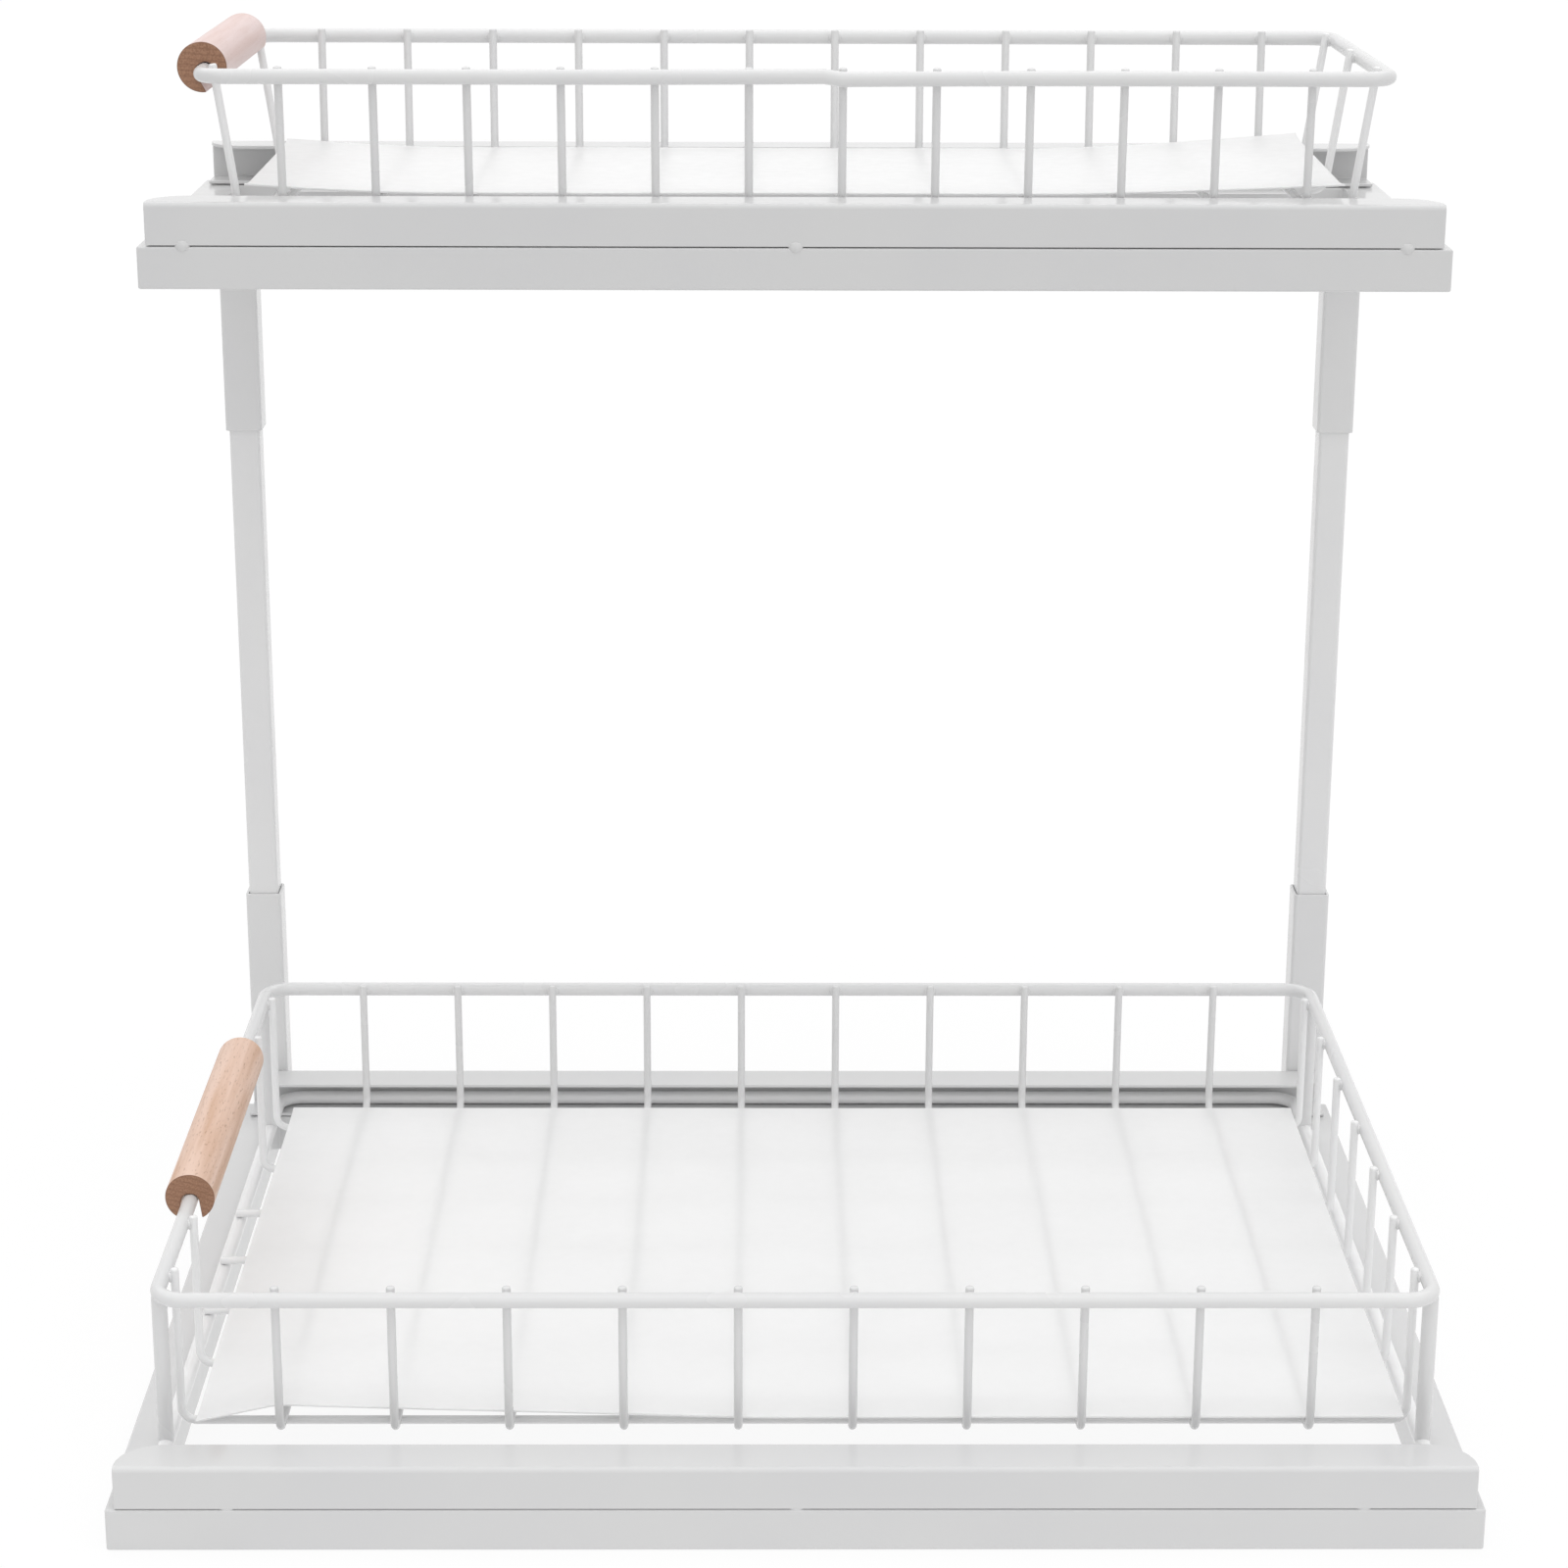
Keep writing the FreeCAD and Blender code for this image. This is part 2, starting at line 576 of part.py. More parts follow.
def build_frame(tier):
    base = f"Places.{tier}_base_z"
    rail_z = f"{base} + Places.rail_base_z"
    center = f"Places.{tier}_center_y"
    front = f"{center} - Places.{tier}_half_depth"
    length = ("Sizes.frame_length", "Places.frame_half_length", "Places.inner_half_length")
    depth = (f"Sizes.{tier}_depth", f"Places.{tier}_half_depth", f"Places.{tier}_inner_half_depth")
    frame_tube(f"{tier}_front_tube", *length, 0, "0", front, base)
    frame_tube(f"{tier}_back_tube", *length, 180, "0", "Places.back_y", base)
    frame_tube(f"{tier}_left_tube", *depth, -90, "-Places.frame_half_length", center, base)
    frame_tube(f"{tier}_right_tube", *depth, 90, "Places.frame_half_length", center, base)
    channel_rail(f"{tier}_front_rail", 0, front, rail_z)
    channel_rail(f"{tier}_back_rail", 180, "Places.back_y", rail_z)


def rail_welds(label):
    """Short beads in the seams between the rails and the tubes, three on each rail."""
    beads = []
    for tier in TIERS:
        front = f"Places.{tier}_center_y - Places.{tier}_half_depth"
        for y in (front, "Places.back_y - Sizes.weld_depth"):
            for x in (f"-Places.{tier}_weld_x", "0", f"Places.{tier}_weld_x"):
                bead = doc.addObject("Part::Box", "WeldBead")
                bead.setExpression("Length", "Sizes.weld_length")
                bead.setExpression("Width", "Sizes.weld_depth")
                bead.setExpression("Height", "Sizes.rail_gap")
                place(bead, f"{x} - Sizes.weld_length / 2", y,
                      f"Places.{tier}_base_z + Sizes.tube_height")
                beads.append(bead)
    new_group(label, beads)


def build_posts():
    for name, x in (("left", "-Places.sleeve_x"), ("right", "Places.sleeve_x")):
        sleeve(f"lower_{name}_sleeve", "Sizes.sleeve_rise", x, "0", upside_down=False)
        sleeve(f"upper_{name}_sleeve", "Places.upper_sleeve_length", x, "Places.upper_sleeve_top",
               upside_down=True)
        plug_post(f"{name}_post", x)


def build_basket(tier):
    center = f"Places.{tier}_center_y"
    closed_ring(f"{tier}_rim", f"Places.{tier}_rim_half_length", f"Places.{tier}_rim_half_depth",
                "Sizes.rim_corner_radius", center, f"Places.{tier}_rim_z")
    closed_ring(f"{tier}_runner", f"Places.{tier}_runner_half_length",
                f"Places.{tier}_runner_half_depth", "Sizes.runner_corner_radius",
                center, f"Places.{tier}_runner_base_z")
    count = CROSS_WIRE_COUNT[tier]
    for i in range(count):
        steps = i - (count - 1) / 2
        cross_wire(f"{tier}_cross_wire_{i + 1:02d}", tier, f"{steps} * Places.{tier}_cross_pitch")
    count = LONG_WIRE_COUNT[tier]
    first_short = (count - SHORT_WIRE_COUNT[tier]) // 2
    for i in range(count):
        steps = i - (count - 1) / 2
        y = f"{center} + {steps} * Places.{tier}_long_pitch"
        if first_short <= i < count - first_short:
            short_wire(f"{tier}_short_wire_{i + 1}", tier, y)
        else:
            long_wire(f"{tier}_long_wire_{i + 1}", tier, y)
    liner_mat(f"{tier}_mat", tier)
    wooden_handle(f"{tier}_handle", tier)


def check_document():
    for item in doc.Objects:
        if "Invalid" in item.State or "Error" in item.State:
            raise RuntimeError(f"{item.Label} failed: {item.State}")
    for item in parts:
        if item.Shape.isNull() or not item.Shape.isValid() or not item.Shape.Solids:
            raise RuntimeError(f"{item.Label} has no valid solid")


for tier in TIERS:
    build_frame(tier)
rail_welds("rail_welds")
build_posts()
for tier in TIERS:
    build_basket(tier)
corner_posts("lower_corner_posts", "lower")
doc.recompute()
check_document()

os.makedirs("parts", exist_ok=True)
for item in parts:
    item.Shape.exportStep(f"parts/{item.Label}.step")
    print(f"{item.Label}: {len(item.Shape.Solids)} solid(s), {item.Shape.Volume:.0f} mm3")
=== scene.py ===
import math

import bpy
from mathutils import Matrix, Vector


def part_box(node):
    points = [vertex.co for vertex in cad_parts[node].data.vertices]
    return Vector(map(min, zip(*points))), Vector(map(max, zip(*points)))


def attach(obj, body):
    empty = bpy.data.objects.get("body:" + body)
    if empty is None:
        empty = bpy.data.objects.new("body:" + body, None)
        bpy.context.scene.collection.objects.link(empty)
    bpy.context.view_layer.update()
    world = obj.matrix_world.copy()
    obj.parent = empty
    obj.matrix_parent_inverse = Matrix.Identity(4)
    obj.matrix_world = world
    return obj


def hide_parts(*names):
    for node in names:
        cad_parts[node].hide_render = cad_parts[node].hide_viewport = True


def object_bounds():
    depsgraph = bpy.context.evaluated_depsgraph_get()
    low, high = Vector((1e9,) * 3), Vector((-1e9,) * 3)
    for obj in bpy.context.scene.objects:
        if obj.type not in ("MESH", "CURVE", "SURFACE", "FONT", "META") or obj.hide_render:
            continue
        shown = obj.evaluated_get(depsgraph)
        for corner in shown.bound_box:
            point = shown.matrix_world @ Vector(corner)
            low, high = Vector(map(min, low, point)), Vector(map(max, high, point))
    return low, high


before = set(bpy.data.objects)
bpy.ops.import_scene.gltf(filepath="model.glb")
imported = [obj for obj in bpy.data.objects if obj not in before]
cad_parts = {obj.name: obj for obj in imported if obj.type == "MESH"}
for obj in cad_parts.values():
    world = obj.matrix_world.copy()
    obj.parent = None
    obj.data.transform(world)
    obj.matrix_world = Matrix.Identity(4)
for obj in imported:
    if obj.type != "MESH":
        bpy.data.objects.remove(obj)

cad_low, cad_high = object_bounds()

MM = 0.001
TIERS = ("lower", "upper")
UP = Vector((0, 0, 1))
# The corners of a rectangle, anticlockwise from the front left.
CORNERS = ((-1, -1), (1, -1), (1, 1), (-1, 1))
# Points closer than this count as one.
SAME_PLACE = 0.001 * MM

# How the rods and wires of the baskets are bent.
ROD_CORNER_BEND = 9 * MM
WIRE_BEND = 5 * MM
WIRE_TIP = 0.4 * MM
SIDE_FLARE = {"lower": 0.0, "upper": 2 * MM}
END_FLARE = {"lower": 0.0, "upper": 6.5 * MM}
ROD_SIDES = 20
WIRE_SIDES = 16
BEND_STEPS = 10
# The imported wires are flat-sided, and their corners stand out past the round stock.
PACKED_WIRE_SIDES = 8

# An open rod's end in shares of its radius: each ring's distance from the tip, and its width.
ROD_END = ((0.0, 0.55), (0.12, 0.83), (0.3, 0.97))
ROD_END_LENGTH = 0.5

# How the square tubes are rounded.
TUBE_EDGE = 0.7 * MM
SLEEVE_EDGE = 1.3 * MM
SLEEVE_LIP = 0.3 * MM
TUBE_WALL = 1 * MM
EDGE_STEPS = 4

# How the channel rails are folded from sheet.
RAIL_WALL = 1.2 * MM
RAIL_BEND = 1.7 * MM
RAIL_CORNER = 13.5 * MM
RAIL_CORNER_STEPS = 6

# How sharp edges are softened, where they turn by more than an angle.
SHARP_TURN = math.radians(50)
RAIL_EDGE = 0.3 * MM
MAT_EDGE = 0.25 * MM
HANDLE_EDGE = 0.4 * MM

# Weld beads: in the seams under the rails, and where the wires meet the rim.
SEAM_BEAD_INSET = {"lower": 38 * MM, "upper": 15 * MM}
SEAM_BEAD_SIZE = Vector((2.5, 1.5, 2.2)) * MM
SEAM_BEAD_PROUD = 0.8 * MM
RIM_BEAD_SIZE = Vector((2.4, 0.9, 1.9)) * MM
BEAD_STEPS = 6
BEAD_SIDES = 10

# The ends of the upper rim meet on its front run, one a little higher than the other.
RIM_JOINT = 12 * MM
RIM_JOINT_STEP = 0.5 * MM
RIM_JOINT_REACH = 100 * MM
RIM_JOINT_SHARES = (0.03, 0.08, 0.2, 0.4, 0.7, 1)

# The liner mats are loose: they have slid a little, and their edges ride up on the wires' bends.
MAT_SPACING = 4 * MM
MAT_SLIDE = {"lower": Vector((1.7, -2, 0)) * MM, "upper": Vector((0, 0, 0))}
MAT_REACH = {"lower": Vector((0, 0, 0)), "upper": Vector((2, 3, 0)) * MM}
MAT_WAVE = 0.12 * MM
MAT_EDGE_RISE = {"lower": 0.5 * MM, "upper": 1.2 * MM}
MAT_EDGE_REACH = 14 * MM
LOWER_MAT_DROOP = 1.6 * MM
LOWER_MAT_BUCKLE = 4.4 * MM
LOWER_MAT_BUCKLE_REACH = 70 * MM
LOWER_MAT_BUCKLE_END = -15 * MM
UPPER_MAT_LEFT_CURL = 2.8 * MM
UPPER_MAT_LEFT_REACH = 62 * MM
UPPER_MAT_LEFT_POWER = 1.6
UPPER_MAT_RIGHT_CURL = 3.4 * MM
UPPER_MAT_RIGHT_REACH = 95 * MM
UPPER_MAT_RIGHT_POWER = 1.4
UPPER_MAT_CORNER_CURL = 2.4 * MM

# The coat's orange peel on tubes and on rods: how fine it is, and how strong.
TUBE_PEEL = (520, 0.05)
ROD_PEEL = (900, 0.08)
THIN_COAT_LOSS = (0.015, 0.015, 0.01)

# The camera, measured from the middle of the lower front face on the floor.
CAMERA_PLACE = Vector((-13.32, -1000.02, 563.69)) * MM
CAMERA_PITCH = 17.38
CAMERA_YAW = 0.496
CAMERA_ROLL = 0.213
CAMERA_FOCAL = 3670
PICTURE_WIDTH = 1600
SENSOR_WIDTH = 36.0
FARTHEST_SEEN = 100.0

# The floor is a lit white table: how much of its white is its own, seen directly and as it lights.
FLOOR_WHITE = 0.88
FLOOR_GLOW = 0.8
FLOOR_HALF = 40.0
FLOOR_DROP = 0.2 * MM
TABLE_EDGE = (0.45, 1.6)
TABLE_FALL = 0.6

# The room's own light, and two broad lamps: strength, lean from straight above, and turn.
ROOM_LIGHT = 0.52
OVERHEAD_LAMP = (1.55, 12, 200)
FRONT_LAMP = (0.8, 52, 20)
LAMP_SPREAD = 90


def socket(group, name, kind, way, value=None):
    made = group.interface.new_socket(name=name, in_out=way, socket_type=kind)
    if value is not None:
        made.default_value = value


def node(tree, kind, **values):
    made = tree.nodes.new(kind)
    for name, value in values.items():
        setattr(made, name, value)
    return made


def value_of(tree, operation, first, second=None):
    """A Math node; each operand is a number or an output."""
    made = node(tree, "ShaderNodeMath", operation=operation)
    for slot, operand in zip(made.inputs, (first, second)):
        if isinstance(operand, (int, float)):
            slot.default_value = operand
        elif operand is not None:
            tree.links.new(operand, slot)
    return made.outputs[0]


def between(tree, value, low, high, start=0.0, end=1.0):
    """Maps a value smoothly from low..high onto start..end."""
    made = node(tree, "ShaderNodeMapRange", interpolation_type="SMOOTHSTEP")
    tree.links.new(value, made.inputs["Value"])
    for name, number in (("From Min", low), ("From Max", high), ("To Min", start), ("To Max", end)):
        if isinstance(number, (int, float)):
            made.inputs[name].default_value = number
        else:
            tree.links.new(number, made.inputs[name])
    return made.outputs["Result"]


def noise(tree, place, scale, detail=2.0, roughness=0.5):
    made = node(tree, "ShaderNodeTexNoise")
    tree.links.new(place, made.inputs["Vector"])
    if isinstance(scale, (int, float)):
        made.inputs["Scale"].default_value = scale
    else:
        tree.links.new(scale, made.inputs["Scale"])
    made.inputs["Detail"].default_value = detail
    made.inputs["Roughness"].default_value = roughness
    return made.outputs["Fac"]


def blended(tree, factor, first, second):
    """A colour between two; each is an RGBA value or an output."""
    made = node(tree, "ShaderNodeMix", data_type="RGBA")
    tree.links.new(factor, made.inputs["Factor"])
    for slot, colour in ((made.inputs[6], first), (made.inputs[7], second)):
        if isinstance(colour, tuple):
            slot.default_value = colour
        else:
            tree.links.new(colour, slot)
    return made.outputs[2]


def place_on_piece(tree):
    return node(tree, "ShaderNodeTexCoord").outputs["Object"]


def stretched(tree, place, scale):
    made = node(tree, "ShaderNodeMapping")
    made.inputs["Scale"].default_value = scale
    tree.links.new(place, made.inputs["Vector"])
    return made.outputs["Vector"]


def coat_group():
    """Powder coat: faint clouding, an orange-peel surface and a few trapped specks."""
    group = bpy.data.node_groups.new("powder coat", "ShaderNodeTree")
    socket(group, "Coat", "NodeSocketColor", "INPUT", (0.8, 0.8, 0.8, 1))
    socket(group, "Thin Coat", "NodeSocketColor", "INPUT", (0.75, 0.75, 0.75, 1))
    socket(group, "Speck", "NodeSocketColor", "INPUT", (0.4, 0.4, 0.4, 1))
    socket(group, "Peel Scale", "NodeSocketFloat", "INPUT", 500.0)
    socket(group, "Gloss", "NodeSocketFloat", "INPUT", 0.2)
    socket(group, "Haze", "NodeSocketFloat", "INPUT", 0.35)
    socket(group, "Colour", "NodeSocketColor", "OUTPUT")
    socket(group, "Roughness", "NodeSocketFloat", "OUTPUT")
    socket(group, "Peel", "NodeSocketFloat", "OUTPUT")
    given = node(group, "NodeGroupInput").outputs
    result = node(group, "NodeGroupOutput").inputs
    place = place_on_piece(group)

    cloud = between(group, noise(group, place, 17.0, detail=3.0), 0.35, 0.68)
    body = blended(group, cloud, given["Coat"], given["Thin Coat"])
    cells = node(group, "ShaderNodeTexVoronoi")
    cells.inputs["Scale"].default_value = 60.0
    group.links.new(place, cells.inputs["Vector"])
    spot = between(group, cells.outputs["Distance"], 0.012, 0.024, 1.0, 0.0)
    picked = node(group, "ShaderNodeSeparateColor")
    group.links.new(cells.outputs["Color"], picked.inputs["Color"])
    rare = between(group, picked.outputs["Red"], 0.965, 0.97)
    speck = value_of(group, "MULTIPLY", spot, rare)
    group.links.new(blended(group, speck, body, given["Speck"]), result["Colour"])

    smear = noise(group, place, 42.0)
    rough = between(group, smear, 0.3, 0.75, given["Gloss"], given["Haze"])
    group.links.new(rough, result["Roughness"])
    group.links.new(noise(group, place, given["Peel Scale"], roughness=0.4), result["Peel"])
    return group


def beech_group():
    """Planed beech along Y: soft figure, short flecks, and rings on the cut ends."""
    group = bpy.data.node_groups.new("beech grain", "ShaderNodeTree")
    socket(group, "Pale Wood", "NodeSocketColor", "INPUT", (0.7, 0.5, 0.4, 1))
    socket(group, "Deep Wood", "NodeSocketColor", "INPUT", (0.6, 0.4, 0.3, 1))
    socket(group, "Fleck", "NodeSocketColor", "INPUT", (0.4, 0.22, 0.14, 1))
    socket(group, "Fleck Depth", "NodeSocketFloat", "INPUT", 0.6)
    socket(group, "End Pale", "NodeSocketColor", "INPUT", (0.37, 0.195, 0.115, 1))
    socket(group, "End Deep", "NodeSocketColor", "INPUT", (0.21, 0.1, 0.055, 1))
    socket(group, "Colour", "NodeSocketColor", "OUTPUT")
    socket(group, "Roughness", "NodeSocketFloat", "OUTPUT")
    socket(group, "Grain", "NodeSocketFloat", "OUTPUT")
    given = node(group, "NodeGroupInput").outputs
    result = node(group, "NodeGroupOutput").inputs
    place = place_on_piece(group)

    along_grain = stretched(group, place, (1.0, 0.05, 1.0))
    figure = noise(group, along_grain, 260.0, detail=4.0, roughness=0.55)
    side = blended(group, between(group, figure, 0.32, 0.7), given["Pale Wood"], given["Deep Wood"])
    flecks = noise(group, stretched(group, place, (1.0, 0.16, 1.0)), 1800.0, detail=1.0)
    fleck = between(group, flecks, 0.6, 0.74, 0.0, given["Fleck Depth"])
    side = blended(group, fleck, side, given["Fleck"])

    rings = node(group, "ShaderNodeTexWave", wave_type="RINGS", rings_direction="Y")
    rings.inputs["Scale"].default_value = 170.0
    rings.inputs["Distortion"].default_value = 1.2
    rings.inputs["Detail"].default_value = 3.0
    rings.inputs["Detail Scale"].default_value = 2.5
    shifted = node(group, "ShaderNodeMapping")
    shifted.inputs["Location"].default_value = (0.23, 0.0, 0.02)
    group.links.new(place, shifted.inputs["Vector"])
    group.links.new(shifted.outputs["Vector"], rings.inputs["Vector"])
    pores = noise(group, place, 1700.0)
    ring = between(group, rings.outputs["Fac"], 0.0, 0.5, 0.6, 1.0)
    cut = value_of(group, "MULTIPLY", ring, between(group, pores, 0.3, 0.65, 0.3, 1.0))
    end = blended(group, cut, given["End Deep"], given["End Pale"])

    facing = node(group, "ShaderNodeSeparateXYZ")
    group.links.new(node(group, "ShaderNodeNewGeometry").outputs["Normal"], facing.inputs[0])
    endways = value_of(group, "ABSOLUTE", facing.outputs["Y"])
    # The softened rim round each cut end is darker.
    cut_edge = between(group, endways, 0.9, 0.99, 0.9, 0.0)
    end = blended(group, cut_edge, end, given["End Deep"])
    ends = between(group, endways, 0.3, 0.6)
    group.links.new(blended(group, ends, side, end), result["Colour"])
    group.links.new(between(group, figure, 0.3, 0.7, 0.42, 0.55), result["Roughness"])
    group.links.new(value_of(group, "SUBTRACT", figure, fleck), result["Grain"])
    return group


def new_material(name):
    made = bpy.data.materials.new(name)
    made.use_nodes = True
    return made, made.node_tree, made.node_tree.nodes["Principled BSDF"]


def bumped(tree, shader, height, strength, distance):
    bump = node(tree, "ShaderNodeBump")
    bump.inputs["Strength"].default_value = strength
    bump.inputs["Distance"].default_value = distance
    tree.links.new(height, bump.inputs["Height"])
    tree.links.new(bump.outputs["Normal"], shader.inputs["Normal"])


def coated_steel(name, group, peel, white, gloss, haze):
    made, tree, shader = new_material(name)
    peel_scale, peel_strength = peel
    finish = node(tree, "ShaderNodeGroup", node_tree=group)
    finish.inputs["Coat"].default_value = (white, white, white, 1)
    finish.inputs["Thin Coat"].default_value = (*(white - loss for loss in THIN_COAT_LOSS), 1)
    finish.inputs["Peel Scale"].default_value = peel_scale
    finish.inputs["Gloss"].default_value = gloss
    finish.inputs["Haze"].default_value = haze
    tree.links.new(finish.outputs["Colour"], shader.inputs["Base Color"])
    tree.links.new(finish.outputs["Roughness"], shader.inputs["Roughness"])
    bumped(tree, shader, finish.outputs["Peel"], peel_strength, 0.15 * MM)
    return made


def liner_film(name):
    """Milky plastic film that lets light through, with shallow waves in it."""
    made, tree, shader = new_material(name)
    place = place_on_piece(tree)
    milk = between(tree, noise(tree, place, 30.0, detail=3.0), 0.3, 0.7)
    colour = blended(tree, milk, (0.785, 0.785, 0.785, 1), (0.77, 0.77, 0.77, 1))
    tree.links.new(colour, shader.inputs["Base Color"])
    frost = between(tree, noise(tree, place, 240.0), 0.3, 0.7, 0.34, 0.5)
    tree.links.new(frost, shader.inputs["Roughness"])
    shader.inputs["Alpha"].default_value = 0.96
    shader.inputs["Subsurface Weight"].default_value = 1.0
    shader.inputs["Subsurface Radius"].default_value = (1, 1, 1)
    shader.inputs["Subsurface Scale"].default_value = 2 * MM
    waves = noise(tree, stretched(tree, place, (1.0, 0.6, 1.0)), 22.0, detail=1.0)
    bumped(tree, shader, waves, 0.25, 2 * MM)
    return made


def beech(name, group, pale, deep, fleck):
    made, tree, shader = new_material(name)
    grain = node(tree, "ShaderNodeGroup", node_tree=group)
    grain.inputs["Pale Wood"].default_value = pale
    grain.inputs["Deep Wood"].default_value = deep
    grain.inputs["Fleck Depth"].default_value = fleck
    tree.links.new(grain.outputs["Colour"], shader.inputs["Base Color"])
    tree.links.new(grain.outputs["Roughness"], shader.inputs["Roughness"])
    bumped(tree, shader, grain.outputs["Grain"], 0.25, 0.1 * MM)
    return made


def seen_directly(tree):
    """1 for rays from the camera, from gloss and through clear film, else 0."""
    rays = node(tree, "ShaderNodeLightPath").outputs
    either = value_of(tree, "MAXIMUM", rays["Is Camera Ray"], rays["Is Glossy Ray"])
    return value_of(tree, "MAXIMUM", either, rays["Is Transmission Ray"])


def pale_floor(name):
    """A lit white table whose light falls off away from the middle, seen as plain white."""
    made, tree, shader = new_material(name)
    place = place_on_piece(tree)
    reach = node(tree, "ShaderNodeVectorMath", operation="LENGTH")
    tree.links.new(place, reach.inputs[0])
    lit = between(tree, reach.outputs["Value"], *TABLE_EDGE, 1.0, TABLE_FALL)
    seen = seen_directly(tree)
    level = value_of(tree, "MAXIMUM", seen, lit)
    grit = between(tree, noise(tree, place, 3.0), 0.3, 0.7)
    white = blended(tree, grit, (0.93, 0.93, 0.93, 1), (0.92, 0.92, 0.92, 1))
    tree.links.new(blended(tree, level, (0, 0, 0, 1), white), shader.inputs["Base Color"])
    shader.inputs["Roughness"].default_value = 0.9
    shader.inputs["Specular IOR Level"].default_value = 0.0
    glow = node(tree, "ShaderNodeEmission")
    tree.links.new(level, glow.inputs["Strength"])
    mixed = node(tree, "ShaderNodeMixShader")
    own_white = between(tree, seen, 0.0, 1.0, FLOOR_GLOW, FLOOR_WHITE)
    tree.links.new(own_white, mixed.inputs["Fac"])
    tree.links.new(shader.outputs["BSDF"], mixed.inputs[1])
    tree.links.new(glow.outputs["Emission"], mixed.inputs[2])
    tree.links.new(mixed.outputs["Shader"], tree.nodes["Material Output"].inputs["Surface"])
    return made


def new_piece(name, points, faces, material, body, slot, replaced=()):
    mesh = bpy.data.meshes.new(name)
    mesh.from_pydata(points, [], faces)
    mesh.materials.append(material)
    mesh.shade_smooth()
    piece = bpy.data.objects.new(name, mesh)
    bpy.context.scene.collection.objects.link(piece)
    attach(piece, body)
    if replaced:
        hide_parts(*replaced)
    return piece


def even_shading(piece):
    """Keeps flat faces flat beside rounded edges."""
    weighted = piece.modifiers.new("even shading", "WEIGHTED_NORMAL")
    weighted.mode = "FACE_AREA"
    weighted.weight = 80


def soften(piece, name, width, steps):
    """Rounds a piece's sharp edges."""
    softened = piece.modifiers.new(name, "BEVEL")
    softened.width = width
    softened.segments = steps
    softened.limit_method = "ANGLE"
    softened.angle_limit = SHARP_TURN
    even_shading(piece)


def nodes_named(*starts):
    """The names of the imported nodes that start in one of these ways, in order."""
    return sorted(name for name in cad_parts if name.startswith(starts))


def bridge(loops, closed_run=False, tips=()):
    """Points and faces of a skin over loops of equal count, with a tip at each end if given."""
    count = len(loops[0])
    points = [p for loop in loops for p in loop]
    faces = []
    for i in range(len(loops) if closed_run else len(loops) - 1):
        first, second = i * count, (i + 1) % len(loops) * count
        for k in range(count):
            n = (k + 1) % count
            faces.append((first + k, first + n, second + n, second + k))
    for tip, base, turned in zip(tips, (0, (len(loops) - 1) * count), (True, False)):
        points.append(tip)
        for k in range(count):
            n = (k + 1) % count
            face = (base + k, base + n, len(points) - 1)
            faces.append(face[::-1] if turned else face)
    return points, faces


def joined(skins):
    """Points and faces of several skins in one."""
    points, faces = [], []
    for skin_points, skin_faces in skins:
        faces += [tuple(k + len(points) for k in face) for face in skin_faces]
        points += skin_points
    return points, faces


def bent_line(corners, bend, closed=False):
    """Points along straight runs with every corner bent to a radius."""
    points = []
    count = len(corners)
    for i, corner in enumerate(corners):
        if not closed and i in (0, count - 1):
            points.append(corner.copy())
            continue
        coming = (corner - corners[i - 1]).normalized()
        going = (corners[(i + 1) % count] - corner).normalized()
        turn = coming.angle(going)
        reach = bend * math.tan(turn / 2)
        inward = (going - coming).normalized()
        centre = corner + inward * bend / math.cos(turn / 2)
        start = corner - coming * reach - centre
        axis = coming.cross(going)
        for step in range(BEND_STEPS + 1):
            turned = Matrix.Rotation(turn * step / BEND_STEPS, 3, axis) @ start
            points.append(centre + turned)
    return points


def directions(points, closed):
    found = []
    count = len(points)
    for i, point in enumerate(points):
        before = points[i - 1] if closed or i else point
        after = points[(i + 1) % count] if closed or i < count - 1 else point
        found.append((after - before).normalized())
    return found


def ring_round(point, along, side, radius, sides):
    other = along.cross(side)
    turns = (2 * math.pi * k / sides for k in range(sides))
    return [point + side * radius * math.cos(a) + other * radius * math.sin(a) for a in turns]


def flat_side(points):
    """A direction square to the plane that a bent line lies in."""
    first = (points[1] - points[0]).normalized()
    for point in points[2:]:
        side = first.cross(point - points[0])
        if side.length > SAME_PLACE:
            return side.normalized()
    return first.orthogonal().normalized()


def rod_skin(points, radius, sides, closed=False):
    """The skin of a round rod along a line, with rounded ends where it is open."""
    along = directions(points, closed)
    side = flat_side(points)
    loops = [ring_round(p, d, side, radius, sides) for p, d in zip(points, along)]
    if closed:
        return bridge(loops, closed_run=True)

    def end_ring(i, reach, share):
        place = points[i] + along[i] * radius * reach
        return ring_round(place, along[i], side, radius * share, sides)

    head = [end_ring(0, reach, share) for reach, share in ROD_END]
    tail = [end_ring(-1, -reach, share) for reach, share in reversed(ROD_END)]
    loops[0] = end_ring(0, ROD_END_LENGTH, 1)
    loops[-1] = end_ring(-1, -ROD_END_LENGTH, 1)
    return bridge(head + loops + tail, tips=(points[0], points[-1]))


def rounded_square(half_x, half_y, radius):
    """Corner points of a rounded rectangle, anticlockwise from the right side."""
    outline = []
    for quarter, (sx, sy) in enumerate(((1, 1), (-1, 1), (-1, -1), (1, -1))):
        centre = Vector((sx * (half_x - radius), sy * (half_y - radius), 0))
        for step in range(EDGE_STEPS + 1):
            turn = math.pi / 2 * (quarter + step / EDGE_STEPS)
            outline.append(centre + Vector((math.cos(turn), math.sin(turn), 0)) * radius)
    return outline


